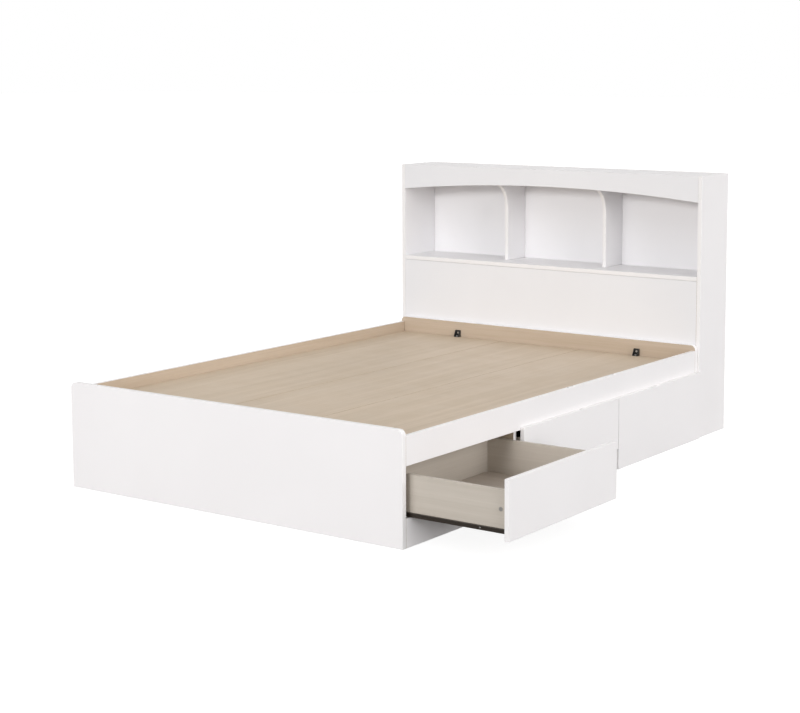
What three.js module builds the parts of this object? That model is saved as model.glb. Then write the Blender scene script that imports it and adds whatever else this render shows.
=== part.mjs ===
// A full-size storage bed with a bookcase headboard: flat-pack panels, two drawers along one side.
// Millimetres, +Z up, +Y towards the head, +X towards the drawer side.
// The origin is on the floor, in the middle of the bed's width and of its whole length.
import * as THREE from "three";

// Driving dimensions. Lengths along the bed are counted from the front face of the footboard.
const BED_WIDTH = 1429; // outside of the side panels
const BOX_LENGTH = 1950; // footboard front to headboard front
const END_HEIGHT = 371; // footboard and head-end panel
const END_THICKNESS = 19;
const END_CORNER_RADIUS = 20;
const BOARD = 16; // thickness of every other carcass board
const FIT_GAP = 0.3; // clearance where two boards meet
const SIDE_HEIGHT = 350; // top edge of the side panels
const PLATFORM_TOP = 308; // the mattress lies here, in a shallow tray
const SPINE_X = 190; // middle of the two long inner panels, under the platform seams
const LEDGER = 20; // square batten that carries the platform along each side

const OPENING_BOTTOM = 93;
const OPENING_TOP = 256;
const FRONT_WIDTH = 637;
const FRONT_GAP = 3;
const FRONT_BOTTOM = 77;
const FRONT_TOP = 265;
const FRONT_START = 21; // first drawer front, just behind the footboard
const FRONT_AIR = 0.5; // between a closed drawer front and the side panel
const DRAWER_BOARD = 12;
const DRAWER_WIDTH = 593; // outside of the drawer's sides
const DRAWER_DEPTH = 470;
const DRAWER_BOTTOM_EDGE = 96;
const DRAWER_TOP_EDGE = 228;
const DRAWER_FLOOR = 110; // upper face of the drawer's bottom sheet
const DRAWER_SHEET = 4;
const SLIDE_SPACE = 13; // between a drawer's side and the panel beside it
const SLIDE_LENGTH = 450;
const FOOT_DRAWER_PULLED = 354.5; // the foot drawer stands open by this much at rest

const HEADBOARD_WIDTH = 1447;
const HEADBOARD_DEPTH = 228;
const HEADBOARD_HEIGHT = 1034;
const BACK_SHEET = 5;
const SHELF_UNDERSIDE = 622.3;
const VALANCE_END = 930; // lower edge of the arch where it meets the sides
const VALANCE_MIDDLE = 965; // lower edge of the arch in the middle
const DIVIDER_SETBACK = 88; // of a headboard divider behind the front face
const COVE_HEIGHT = 100; // curve that brings a divider forward to the valance
const KICK = 60; // gap below the headboard's lower panel

const halfBed = BED_WIDTH / 2;
const sideInner = halfBed - BOARD;
const railStart = END_THICKNESS + FIT_GAP;
const railEnd = BOX_LENGTH - END_THICKNESS - 2 * FIT_GAP;
const supportTop = PLATFORM_TOP - BOARD - FIT_GAP;
const spineInner = SPINE_X - BOARD / 2;
const spineOuter = SPINE_X + BOARD / 2;

const finish = (color, roughness, metalness = 0) =>
  new THREE.MeshStandardMaterial({ color, roughness, metalness });
const white = () => finish(0xf0eeec, 0.45);
const birch = () => finish(0xc9b898, 0.6);
const greyLaminate = () => finish(0xc3baac, 0.55);
const sheet = () => finish(0xb9a98d, 0.8);
const darkSteel = () => finish(0x2e2620, 0.45, 0.6);
const nylon = () => finish(0xe6e4dc, 0.5);
const blackPlastic = () => finish(0x1b1a19, 0.5);

const bed = new THREE.Group();
bed.position.y = -(BOX_LENGTH + HEADBOARD_DEPTH) / 2;

function add(parent, name, geometry, material) {
  const mesh = new THREE.Mesh(geometry, material);
  mesh.name = name;
  parent.add(mesh);
  return mesh;
}

// A rectangular board between two corners.
function board(parent, name, material, [x0, x1], [y0, y1], [z0, z1]) {
  const mesh = add(parent, name, new THREE.BoxGeometry(x1 - x0, y1 - y0, z1 - z0), material);
  mesh.position.set((x0 + x1) / 2, (y0 + y1) / 2, (z0 + z1) / 2);
  return mesh;
}

// A board whose outline lies in the X-Z plane, cut through from y0 to y1.
function boardAcross(parent, name, material, outline, [y0, y1]) {
  const geometry = new THREE.ExtrudeGeometry(outline, {
    depth: y1 - y0,
    bevelEnabled: false,
    curveSegments: 8,
  });
  geometry.rotateX(Math.PI / 2);
  const mesh = add(parent, name, geometry, material);
  mesh.position.y = y1;
  return mesh;
}

// A board or bar whose outline lies in the Y-Z plane, cut through from x0 to x1.
function boardAlong(parent, name, material, outline, [x0, x1]) {
  const geometry = new THREE.ExtrudeGeometry(outline, {
    depth: x1 - x0,
    bevelEnabled: false,
    curveSegments: 8,
  });
  const turn = new THREE.Matrix4().makeBasis(
    new THREE.Vector3(0, 1, 0),
    new THREE.Vector3(0, 0, 1),
    new THREE.Vector3(1, 0, 0),
  );
  geometry.applyMatrix4(turn);
  const mesh = add(parent, name, geometry, material);
  mesh.position.x = x0;
  return mesh;
}

function polygon(points) {
  return new THREE.Shape(points.map(([a, b]) => new THREE.Vector2(a, b)));
}

// Footboard and head-end panel: upright boards with rounded top corners.
function endPanelOutline() {
  const outline = new THREE.Shape();
  const r = END_CORNER_RADIUS;
  outline.moveTo(-halfBed, 0);
  outline.lineTo(halfBed, 0);
  outline.lineTo(halfBed, END_HEIGHT - r);
  outline.absarc(halfBed - r, END_HEIGHT - r, r, 0, Math.PI / 2, false);
  outline.lineTo(-halfBed + r, END_HEIGHT);
  outline.absarc(-halfBed + r, END_HEIGHT - r, r, Math.PI / 2, Math.PI, false);
  return outline;
}

function bedEnds() {
  boardAcross(bed, "footboard", white(), endPanelOutline(), [0, END_THICKNESS]);
  const headFace = BOX_LENGTH - FIT_GAP - END_THICKNESS;
  boardAcross(bed, "head_end_panel", birch(), endPanelOutline(), [headFace, BOX_LENGTH - FIT_GAP]);
}

// Drawer side: a top rail over the opening, a bottom rail under it, and on the outside of both a
// blank panel at the head, in one plane with the drawer fronts and with the same gap to them.
function sidePanels() {
  const drawerSide = [sideInner, halfBed];
  board(bed, "side_top_rail", white(), drawerSide, [railStart, railEnd], [OPENING_TOP, SIDE_HEIGHT]);
  board(bed, "side_bottom_rail", white(), drawerSide, [railStart, railEnd], [0, OPENING_BOTTOM]);
  const blankStart = FRONT_START + 2 * (FRONT_WIDTH + FRONT_GAP);
  const blankFace = [halfBed + FIT_GAP, halfBed + FIT_GAP + BOARD];
  board(bed, "side_end_panel", white(), blankFace, [blankStart, BOX_LENGTH - FIT_GAP], [0, FRONT_TOP]);
  board(bed, "far_side_panel", white(), [-halfBed, -sideInner], [railStart, railEnd], [0, SIDE_HEIGHT]);
}

// A cross panel between a side panel and a long inner panel, notched at the top for the ledger.
function notchedPanel(name, side, [y0, y1]) {
  const outer = side * (sideInner - FIT_GAP);
  const inner = side * (spineOuter + FIT_GAP);
  const notch = LEDGER + 2 * FIT_GAP;
  const outline = polygon([
    [inner, 0],
    [outer, 0],
    [outer, supportTop - notch],
    [outer - side * notch, supportTop - notch],
    [outer - side * notch, supportTop],
    [inner, supportTop],
  ]);
  boardAcross(bed, name, birch(), outline, [y0, y1]);
}

// Where the drawers' sides and the panels beside them stand along the bed.
const batten = [railStart, FRONT_START + 5];
const footDrawerStart = batten[1] + SLIDE_SPACE;
const middlePanelStart = footDrawerStart + DRAWER_WIDTH + SLIDE_SPACE;
const headDrawerStart = middlePanelStart + BOARD + SLIDE_SPACE;
const headPanelStart = headDrawerStart + DRAWER_WIDTH + SLIDE_SPACE;

function innerPanels() {
  const length = [railStart, railEnd];
  board(bed, "spine_near", birch(), [spineInner, spineOuter], length, [0, supportTop]);
  board(bed, "spine_far", birch(), [-spineOuter, -spineInner], length, [0, supportTop]);
  notchedPanel("divider_middle", 1, [middlePanelStart, middlePanelStart + BOARD]);
  notchedPanel("divider_head", 1, [headPanelStart, headPanelStart + BOARD]);
  notchedPanel("far_cross_panel_foot", -1, [middlePanelStart, middlePanelStart + BOARD]);
  notchedPanel("far_cross_panel_head", -1, [headPanelStart, headPanelStart + BOARD]);
  const middle = (BOX_LENGTH + HEADBOARD_DEPTH) / 2;
  const reach = 700;
  for (const [place, y] of [["foot", middle - reach], ["middle", middle], ["head", middle + reach]]) {
    board(
      bed,
      "centre_cross_panel_" + place,
      birch(),
      [-spineInner + FIT_GAP, spineInner - FIT_GAP],
      [y - BOARD / 2, y + BOARD / 2],
      [0, supportTop],
    );
  }
}

// Battens: two ledgers under the platform's edges, and a packing strip for the first slide.
function battens() {
  const height = [supportTop - LEDGER, supportTop];
  const outer = sideInner - FIT_GAP;
  const length = [railStart + LEDGER, railEnd - LEDGER];
  board(bed, "ledger_near", birch(), [outer - LEDGER, outer], length, height);
  board(bed, "ledger_far", birch(), [-outer, -outer + LEDGER], length, height);
  board(bed, "slide_batten_foot", birch(), [outer - SLIDE_LENGTH, outer], batten, [80, 130]);
}

function platform() {
  const length = [railStart + FIT_GAP, railEnd - FIT_GAP];
  const height = [PLATFORM_TOP - BOARD, PLATFORM_TOP];
  const edge = sideInner - FIT_GAP;
  const seam = FIT_GAP / 2;
  board(bed, "platform_board_near", birch(), [SPINE_X + seam, edge], length, height);
  board(bed, "platform_board_middle", birch(), [-SPINE_X + seam, SPINE_X - seam], length, height);
  board(bed, "platform_board_far", birch(), [-edge, -SPINE_X - seam], length, height);
}

// Two small wedge blocks that tie the head-end panel to the platform.
function headBrackets() {
  const places = { near: 456, far: -412 };
  const width = 24;
  const height = 28;
  const reach = 18;
  const face = railEnd;
  const foot = PLATFORM_TOP + FIT_GAP;
  const wedge = () =>
    polygon([
      [face, foot],
      [face, foot + height],
      [face - 6, foot + height],
      [face - reach, foot + 6],
      [face - reach, foot],
    ]);
  for (const [place, x] of Object.entries(places)) {
    boardAlong(bed, "head_bracket_" + place, blackPlastic(), wedge(), [x - width / 2, x + width / 2]);
  }
}

// The slide's fixed half is a channel on the panel, open towards the drawer.
// direction is +1 where the drawer lies further along +Y than the panel.
function fixedSlide(name, wall, direction) {
  const steel = 1.2;
  const at = (depth) => wall + direction * depth;
  const low = OPENING_BOTTOM + 0.5;
  const high = low + 21;
  const lip = 8.7;
  const outline = polygon([
    [at(FIT_GAP), low],
    [at(lip), low],
    [at(lip), low + steel],
    [at(FIT_GAP + steel), low + steel],
    [at(FIT_GAP + steel), high - steel],
    [at(lip), high - steel],
    [at(lip), high],
    [at(FIT_GAP), high],
  ]);
  const front = sideInner - 1.5;
  boardAlong(bed, name, darkSteel(), outline, [front - SLIDE_LENGTH, front]);
  const glide = [at(2), at(10.2)].sort((a, b) => a - b);
  const shoe = [low + steel + FIT_GAP, low + 15];
  board(bed, name + "_shoe", nylon(), [front - 27, front - 3], glide, shoe);
}

// The slide's moving half grips the lower edge of the drawer's side and reaches into the channel.
function movingSlide(parent, name, wall, direction) {
  const steel = 1.2;
  const at = (depth) => wall + direction * depth;
  const web = SLIDE_SPACE - FIT_GAP - steel;
  const under = DRAWER_BOTTOM_EDGE - FIT_GAP;
  const top = 110;
  const outline = polygon([
    [at(web), under - steel],
    [at(SLIDE_SPACE + DRAWER_BOARD), under - steel],
    [at(SLIDE_SPACE + DRAWER_BOARD), under],
    [at(web + steel), under],
    [at(web + steel), top],
    [at(3.2), top],
    [at(3.2), top - steel],
    [at(web), top - steel],
  ]);
  const back = halfBed + FRONT_AIR - DRAWER_DEPTH;
  boardAlong(parent, name, darkSteel(), outline, [back + 2, back + SLIDE_LENGTH + 10]);
  const glide = [at(2), at(web - FIT_GAP)].sort((a, b) => a - b);
  const shoe = [under, top - steel - FIT_GAP];
  board(parent, name + "_shoe", nylon(), [back + 5, back + 29], glide, shoe);
}

// One drawer in its closed place; its group is moved along X when it stands open.
function drawer(place, start, frontStart, pulled) {
  const group = new THREE.Group();
  group.position.x = pulled;
  bed.add(group);
  const name = (piece) => "drawer_" + place + "_" + piece;
  const end = start + DRAWER_WIDTH;
  const frontBack = halfBed + FRONT_AIR;
  const back = frontBack - DRAWER_DEPTH;
  const depth = [back, frontBack - FIT_GAP];
  const height = [DRAWER_BOTTOM_EDGE, DRAWER_TOP_EDGE];
  const inside = [start + DRAWER_BOARD + FIT_GAP, end - DRAWER_BOARD - FIT_GAP];
  const frontSpan = [frontStart, frontStart + FRONT_WIDTH];
  board(group, name("front"), white(), [frontBack, frontBack + BOARD], frontSpan, [FRONT_BOTTOM, FRONT_TOP]);
  board(group, name("side_foot"), greyLaminate(), depth, [start, start + DRAWER_BOARD], height);
  board(group, name("side_head"), greyLaminate(), depth, [end - DRAWER_BOARD, end], height);
  const backSpan = [back, back + DRAWER_BOARD];
  board(group, name("back"), greyLaminate(), backSpan, inside, [DRAWER_FLOOR + FIT_GAP, DRAWER_TOP_EDGE]);
  board(group, name("bottom"), sheet(), depth, inside, [DRAWER_FLOOR - DRAWER_SHEET, DRAWER_FLOOR]);
  fixedSlide(name("channel_foot"), start - SLIDE_SPACE, 1);
  fixedSlide(name("channel_head"), end + SLIDE_SPACE, -1);
  movingSlide(group, name("runner_foot"), start - SLIDE_SPACE, 1);
  movingSlide(group, name("runner_head"), end + SLIDE_SPACE, -1);
}

const headFront = BOX_LENGTH;
const headBack = BOX_LENGTH + HEADBOARD_DEPTH;
const headInner = HEADBOARD_WIDTH / 2 - BOARD - FIT_GAP;
const insideBack = headBack - BACK_SHEET - FIT_GAP;

// A board that reaches from one headboard side to the other, its underside a shallow arch.
function valanceOutline() {
  const rise = VALANCE_MIDDLE - VALANCE_END;
  const radius = (headInner ** 2 + rise ** 2) / (2 * rise);
  const centre = VALANCE_MIDDLE - radius;
  const spread = Math.asin(headInner / radius);
  const outline = new THREE.Shape();
  outline.moveTo(headInner, HEADBOARD_HEIGHT);
  outline.lineTo(-headInner, HEADBOARD_HEIGHT);
  outline.absarc(0, centre, radius, Math.PI / 2 + spread, Math.PI / 2 - spread, true);
  return outline;
}

// A headboard divider: set back behind the front, with a cove that reaches forward at the top.
function headDividerOutline() {
  const foot = SHELF_UNDERSIDE + BOARD + FIT_GAP;
  const top = HEADBOARD_HEIGHT - BOARD - FIT_GAP;
  const front = headFront + DIVIDER_SETBACK;
  const tip = headFront + BOARD + FIT_GAP;
  const coveTop = VALANCE_MIDDLE - 6;
  const outline = new THREE.Shape();
  outline.moveTo(insideBack, foot);
  outline.lineTo(insideBack, top);
  outline.lineTo(tip, top);
  outline.lineTo(tip, coveTop);
  outline.absellipse(tip, coveTop - COVE_HEIGHT, front - tip, COVE_HEIGHT, Math.PI / 2, 0, true);
  outline.lineTo(front, foot);
  return outline;
}

function headboard() {
  const across = [-headInner, headInner];
  const outside = HEADBOARD_WIDTH / 2;
  const whole = [0, HEADBOARD_HEIGHT];
  const frontBoard = [headFront, headFront + BOARD];
  board(bed, "headboard_side_near", white(), [outside - BOARD, outside], [headFront, headBack], whole);
  board(bed, "headboard_side_far", white(), [-outside, BOARD - outside], [headFront, headBack], whole);
  boardAcross(bed, "headboard_valance", white(), valanceOutline(), frontBoard);
  const topSpan = [headFront + BOARD + FIT_GAP, insideBack];
  board(bed, "headboard_top", white(), across, topSpan, [HEADBOARD_HEIGHT - BOARD, HEADBOARD_HEIGHT]);
  const shelfHeight = [SHELF_UNDERSIDE, SHELF_UNDERSIDE + BOARD];
  board(bed, "headboard_shelf", white(), across, [headFront, insideBack], shelfHeight);
  board(bed, "headboard_lower_panel", white(), across, frontBoard, [KICK, SHELF_UNDERSIDE - 0.8]);
  board(bed, "headboard_back", white(), across, [headBack - BACK_SHEET, headBack], [KICK, HEADBOARD_HEIGHT]);
  board(bed, "headboard_stretcher", birch(), across, [insideBack - BOARD, insideBack], [KICK, KICK + 90]);
  const third = (HEADBOARD_WIDTH - 4 * BOARD) / 3;
  const offset = third / 2 + BOARD / 2;
  for (const [place, x] of [["near", offset], ["far", -offset]]) {
    const span = [x - BOARD / 2, x + BOARD / 2];
    boardAlong(bed, "headboard_divider_" + place, white(), headDividerOutline(), span);
  }
}

bedEnds();
sidePanels();
innerPanels();
battens();
platform();
headBrackets();
drawer("foot", footDrawerStart, FRONT_START, FOOT_DRAWER_PULLED);
drawer("head", headDrawerStart, FRONT_START + FRONT_WIDTH + FRONT_GAP, 0);
headboard();

export default bed;
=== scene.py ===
# %% [markdown]
# # A storage bed with a bookcase headboard
# The real bed is flat-pack furniture: boards of pressed wood chips, covered with printed or plain
# melamine paper, with a thin plastic strip ironed onto each edge that shows. Everything here follows
# from that. The CAD model fixes every board's size and place, so this script only gives each board
# its softened edges, its faces, its strips and its small metal and plastic fittings.

# %% Load the fixed frame
import math

import bmesh
import bpy
from mathutils import Matrix, Vector


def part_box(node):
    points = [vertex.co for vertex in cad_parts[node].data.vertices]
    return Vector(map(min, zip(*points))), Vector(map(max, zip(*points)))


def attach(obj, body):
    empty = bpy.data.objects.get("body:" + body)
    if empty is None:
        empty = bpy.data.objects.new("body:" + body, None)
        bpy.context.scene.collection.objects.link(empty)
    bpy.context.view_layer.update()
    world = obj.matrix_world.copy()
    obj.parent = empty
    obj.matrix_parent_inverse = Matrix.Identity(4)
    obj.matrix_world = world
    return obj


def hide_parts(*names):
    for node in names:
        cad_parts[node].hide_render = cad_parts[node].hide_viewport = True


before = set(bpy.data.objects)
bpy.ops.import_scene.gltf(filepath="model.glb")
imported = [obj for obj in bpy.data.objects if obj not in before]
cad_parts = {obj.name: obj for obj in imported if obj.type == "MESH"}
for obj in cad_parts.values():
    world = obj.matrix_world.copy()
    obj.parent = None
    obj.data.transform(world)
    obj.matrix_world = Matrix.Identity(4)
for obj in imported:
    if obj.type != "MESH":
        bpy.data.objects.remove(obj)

scene = bpy.context.scene
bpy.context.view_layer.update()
MM = 0.001

# %% [markdown]
# ## Camera
# Furniture is usually pictured from a few metres away with a long lens, so that the boards keep their
# straight lines. A small lens shift lets the camera look down less, which keeps upright edges nearly
# parallel, as a view camera does in a studio.

# %% Camera
CAMERA_PLACE = (3.804, -5.264, 1.4705)
CAMERA_TURN = 34.43  # degrees, round the upright axis
CAMERA_TILT = 6.93  # degrees below the horizon
CAMERA_LENS = 78.9
CAMERA_SHIFT = (-0.0805, -0.1006)

camera = bpy.data.objects.new("camera", bpy.data.cameras.new("camera"))
scene.collection.objects.link(camera)
camera.location = CAMERA_PLACE
camera.rotation_euler = (math.radians(90 - CAMERA_TILT), 0, math.radians(CAMERA_TURN))
camera.data.lens = CAMERA_LENS
camera.data.shift_x, camera.data.shift_y = CAMERA_SHIFT
camera.data.clip_end = 100
scene.camera = camera

# %% [markdown]
# ## Node trees
# The studio and all the finishes are node trees, and these two short helpers serve them all.

# %% Adding and joining nodes
def put(tree, kind, **settings):
    node = tree.nodes.new(kind)
    for name, value in settings.items():
        setattr(node, name, value)
    return node


def link(tree, source, target):
    tree.links.new(source, target)


# %% [markdown]
# ## Studio
# White furniture on a white ground needs light that is almost even, or the boards burn out. A dim dome
# fills everything. A retoucher would lift the background to clean white afterwards: here the dome
# shows that white to the camera only, and every other ray meets its real, dimmer light.

# %% Dome
DOME_STRENGTH = 0.50
PAPER_WHITE = (1, 1, 1, 1)

world = bpy.data.worlds.new("studio")
world.use_nodes = True
sky = world.node_tree
dome = sky.nodes["Background"]
dome.inputs["Color"].default_value = PAPER_WHITE
dome.inputs["Strength"].default_value = DOME_STRENGTH
shown = put(sky, "ShaderNodeBackground")
shown.inputs["Color"].default_value = PAPER_WHITE
sky_rays = put(sky, "ShaderNodeLightPath")
choose = put(sky, "ShaderNodeMixShader")
link(sky, sky_rays.outputs["Is Camera Ray"], choose.inputs["Fac"])
link(sky, dome.outputs["Background"], choose.inputs[1])
link(sky, shown.outputs["Background"], choose.inputs[2])
link(sky, choose.outputs["Shader"], sky.nodes["World Output"].inputs["Surface"])
scene.world = world
scene.view_settings.view_transform = "Standard"
print("dome", DOME_STRENGTH)

# %% [markdown]
# Suns light the floor the same everywhere, so they do most of the work. The key sun is low and narrow
# and comes from the foot end: it reaches deep into the bookcase, leaves the inside of the drawer bay
# dark, and gives the dividers a shadow with an edge. The wide ones are as soft as big lamps close by.
# One real lamp stands before the footboard, and as its light fades with distance, the headboard comes
# out a little darker than the foot.

# %% Suns and lamp
SUNS = {  # name: (where the light comes from, how wide it is in degrees, strength)
    "sun_above": ((0.1, -0.2, 1.0), 90, 0.30),
    "sun_key": ((0.03, -1.0, 0.20), 9, 0.88),
    "sun_high": ((0.0, -0.80, 0.60), 25, 0.12),
    "sun_corner": ((0.90, -0.42, 0.20), 20, 0.58),
    "sun_side": ((1.0, 0.02, 0.30), 50, 1.61),
    "sun_left": ((-1.0, 0.10, 0.32), 50, 1.00),
    "sun_behind": ((-0.15, 1.0, 0.28), 50, 0.90),
}
MATT_SUNS = ("sun_left", "sun_behind")  # these make no highlights, which would glare on flat boards
LAMP_PLACE = (-0.5, -5.4, 1.5)
LAMP_AIM = (0.0, -1.0, 0.3)
LAMP_SIZE = 2.2
LAMP_POWER = 48.0


def light(name, kind, source, **settings):
    """A light turned so that it shines from the source towards the origin."""
    lamp = bpy.data.lights.new(name, kind)
    for label, value in settings.items():
        setattr(lamp, label, value)
    made = bpy.data.objects.new(name, lamp)
    scene.collection.objects.link(made)
    made.rotation_euler = Vector(source).to_track_quat("Z", "Y").to_euler()
    return made


for name, (source, width, strength) in SUNS.items():
    sun = light(name, "SUN", source, angle=math.radians(width), energy=strength)
    sun.visible_glossy = name not in MATT_SUNS
lamp_way = Vector(LAMP_PLACE) - Vector(LAMP_AIM)
foot_lamp = light("foot_lamp", "AREA", lamp_way, size=LAMP_SIZE, energy=LAMP_POWER)
foot_lamp.location = LAMP_PLACE
print("suns", len(SUNS), "and one lamp")

# %% [markdown]
# The floor is a wide sheet of matt grey, so that it throws only a little light up at the boards. Like
# the dome, it shows the camera a near white, on which the object's soft shadow still lies.

# %% Floor
FLOOR_HALF = 60
FLOOR_BOUNCE = (0.30, 0.30, 0.30, 1)
FLOOR_SHOWN = 0.87

floor_material = bpy.data.materials.new("studio_floor")
floor_material.use_nodes = True
ground = floor_material.node_tree
floor_shader = ground.nodes["Principled BSDF"]
floor_shader.inputs["Base Color"].default_value = FLOOR_BOUNCE
floor_shader.inputs["Roughness"].default_value = 0.9
floor_shader.inputs["Specular IOR Level"].default_value = 0.0
floor_shader.inputs["Emission Color"].default_value = PAPER_WHITE
floor_rays = put(ground, "ShaderNodeLightPath")
floor_lift = put(ground, "ShaderNodeMath", operation="MULTIPLY")
floor_lift.inputs[1].default_value = FLOOR_SHOWN
link(ground, floor_rays.outputs["Is Camera Ray"], floor_lift.inputs[0])
link(ground, floor_lift.outputs[0], floor_shader.inputs["Emission Strength"])
floor_bm = bmesh.new()
bmesh.ops.create_grid(floor_bm, x_segments=1, y_segments=1, size=FLOOR_HALF)
floor_mesh = bpy.data.meshes.new("floor")
floor_bm.to_mesh(floor_mesh)
floor_bm.free()
floor_mesh.materials.append(floor_material)
floor = bpy.data.objects.new("floor", floor_mesh)
scene.collection.objects.link(floor)
print("floor", 2 * FLOOR_HALF, "m wide")

# %% [markdown]
# ## Shared surface effects
# Several finishes share the same small effects, so each effect is a shader node group, built once:
# the fine pebble that a press plate leaves in melamine, the printed wood grain, the chips that show
# where a board is cut, the slight rub along edges, and the uneven gloss that handling leaves.
# Each group only puts out values and colours that change over the surface.

# %% Helpers for effects
def effect_group(name, inputs, outputs):
    tree = bpy.data.node_groups.new(name, "ShaderNodeTree")
    for label, (kind, value) in inputs.items():
        socket = tree.interface.new_socket(label, in_out="INPUT", socket_type=kind)
        if value is not None:
            socket.default_value = value
    for label, kind in outputs.items():
        tree.interface.new_socket(label, in_out="OUTPUT", socket_type=kind)
    return tree, put(tree, "NodeGroupInput"), put(tree, "NodeGroupOutput")


def noise(tree, vector, scale, detail=2.0, roughness=0.5):
    node = put(tree, "ShaderNodeTexNoise")
    node.inputs["Scale"].default_value = scale
    node.inputs["Detail"].default_value = detail
    node.inputs["Roughness"].default_value = roughness
    link(tree, vector, node.inputs["Vector"])
    return node.outputs["Fac"]


def stretch(tree, vector, scale):
    node = put(tree, "ShaderNodeMapping")
    node.inputs["Scale"].default_value = scale
    link(tree, vector, node.inputs["Vector"])
    return node.outputs["Vector"]


def fit_range(tree, value, low, high, new_low=0.0, new_high=1.0):
    node = put(tree, "ShaderNodeMapRange")
    node.interpolation_type = "SMOOTHSTEP"
    for label, number in zip(("From Min", "From Max", "To Min", "To Max"), (low, high, new_low, new_high)):
        node.inputs[label].default_value = number
    link(tree, value, node.inputs["Value"])
    return node.outputs["Result"]


def calculate(tree, operation, first, second):
    node = put(tree, "ShaderNodeMath", operation=operation)
    for socket, value in zip(node.inputs, (first, second)):
        if isinstance(value, (int, float)):
            socket.default_value = value
        else:
            link(tree, value, socket)
    return node.outputs[0]


def blend_colours(tree, factor, first, second):
    node = put(tree, "ShaderNodeMix", data_type="RGBA")
    link(tree, factor, node.inputs["Factor"])
    for socket, value in zip((node.inputs[6], node.inputs[7]), (first, second)):
        if isinstance(value, tuple):
            socket.default_value = (*value, 1)
        else:
            link(tree, value, socket)
    return node.outputs[2]


# %% [markdown]
# The press plate's pebble is only a few tenths of a millimetre across. From a distance it does not
# show as bumps at all: it just breaks up reflections. Close up it is what tells melamine from paint.

# %% Pebble of pressed melamine
pebble, pebble_in, pebble_out = effect_group(
    "pressed_pebble",
    {"Vector": ("NodeSocketVector", None)},
    {"Height": "NodeSocketFloat", "Cloud": "NodeSocketFloat"},
)
fine = noise(pebble, pebble_in.outputs["Vector"], 1400, 1.0)
coarse = noise(pebble, pebble_in.outputs["Vector"], 320, 2.0)
link(pebble, calculate(pebble, "ADD", fine, coarse), pebble_out.inputs["Height"])
cloud = noise(pebble, pebble_in.outputs["Vector"], 3.0, 3.0)
link(pebble, fit_range(pebble, cloud, 0.3, 0.7), pebble_out.inputs["Cloud"])

# %% [markdown]
# A printed wood pattern is long streaks along the board, with short fine pores on top. Both come from
# noise that is stretched along one axis. The vector that goes in already has the grain along its Y.

# %% Printed wood grain
grain, grain_in, grain_out = effect_group(
    "printed_grain",
    {
        "Vector": ("NodeSocketVector", None),
        "Light": ("NodeSocketColor", (0.6, 0.5, 0.38, 1)),
        "Dark": ("NodeSocketColor", (0.5, 0.4, 0.3, 1)),
    },
    {"Color": "NodeSocketColor", "Height": "NodeSocketFloat"},
)
grain_vector = grain_in.outputs["Vector"]
wander = noise(grain, stretch(grain, grain_vector, (2.0, 0.5, 2.0)), 2.0, 1.0)
bands = noise(grain, stretch(grain, grain_vector, (30.0, 0.7, 30.0)), 1.0, 4.0, 0.6)
streaks = noise(grain, stretch(grain, grain_vector, (190.0, 2.5, 190.0)), 1.0, 3.0, 0.6)
pores = noise(grain, stretch(grain, grain_vector, (900.0, 22.0, 900.0)), 1.0, 1.0)
wide = calculate(grain, "MULTIPLY", fit_range(grain, bands, 0.32, 0.68), 0.5)
narrow = calculate(grain, "MULTIPLY", fit_range(grain, streaks, 0.35, 0.65), 0.32)
drift = calculate(grain, "MULTIPLY", fit_range(grain, wander, 0.3, 0.7), 0.18)
tone = calculate(grain, "ADD", calculate(grain, "ADD", wide, narrow), drift)
pore_marks = fit_range(grain, pores, 0.64, 0.74)
toned = calculate(grain, "ADD", tone, calculate(grain, "MULTIPLY", pore_marks, 0.45))
toned_colour = blend_colours(grain, toned, grain_in.outputs["Light"], grain_in.outputs["Dark"])
link(grain, toned_colour, grain_out.inputs["Color"])
link(grain, calculate(grain, "SUBTRACT", 1.0, pore_marks), grain_out.inputs["Height"])

# %% [markdown]
# Where a board is cut and no strip covers the edge, the pressed chips show: small flakes, each with
# its own tone, a few millimetres long in the core.

# %% Chips of a cut edge
chips, chips_in, chips_out = effect_group(
    "cut_chips",
    {"Vector": ("NodeSocketVector", None)},
    {"Color": "NodeSocketColor", "Height": "NodeSocketFloat"},
)
flakes = put(chips, "ShaderNodeTexVoronoi")
flakes.inputs["Scale"].default_value = 420
flakes.inputs["Randomness"].default_value = 1.0
link(chips, stretch(chips, chips_in.outputs["Vector"], (1.0, 1.0, 1.7)), flakes.inputs["Vector"])
flake_tone = put(chips, "ShaderNodeSeparateColor")
link(chips, flakes.outputs["Color"], flake_tone.inputs["Color"])
chip_colour = blend_colours(chips, flake_tone.outputs["Red"], (0.50, 0.36, 0.22), (0.30, 0.20, 0.12))
link(chips, chip_colour, chips_out.inputs["Color"])
flake_lift = calculate(chips, "MULTIPLY", flake_tone.outputs["Green"], 0.6)
link(chips, calculate(chips, "ADD", flake_lift, flakes.outputs["Distance"]), chips_out.inputs["Height"])

# %% [markdown]
# Every board made below carries a number called "rim" on its points: 1 on its edges, falling to 0 a
# few millimetres in. The rub group breaks that number up with noise, so that edges look touched here
# and there and not outlined. The haze group gives gloss its slight unevenness.

# %% Rub along the edges, and handling haze
rub, rub_in, rub_out = effect_group(
    "edge_rub",
    {"Vector": ("NodeSocketVector", None), "Rim": ("NodeSocketFloat", 0.0)},
    {"Mask": "NodeSocketFloat"},
)
patches = fit_range(rub, noise(rub, rub_in.outputs["Vector"], 26, 4.0, 0.65), 0.42, 0.66)
rim_curve = calculate(rub, "POWER", rub_in.outputs["Rim"], 2.2)
link(rub, calculate(rub, "MULTIPLY", patches, rim_curve), rub_out.inputs["Mask"])

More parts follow.
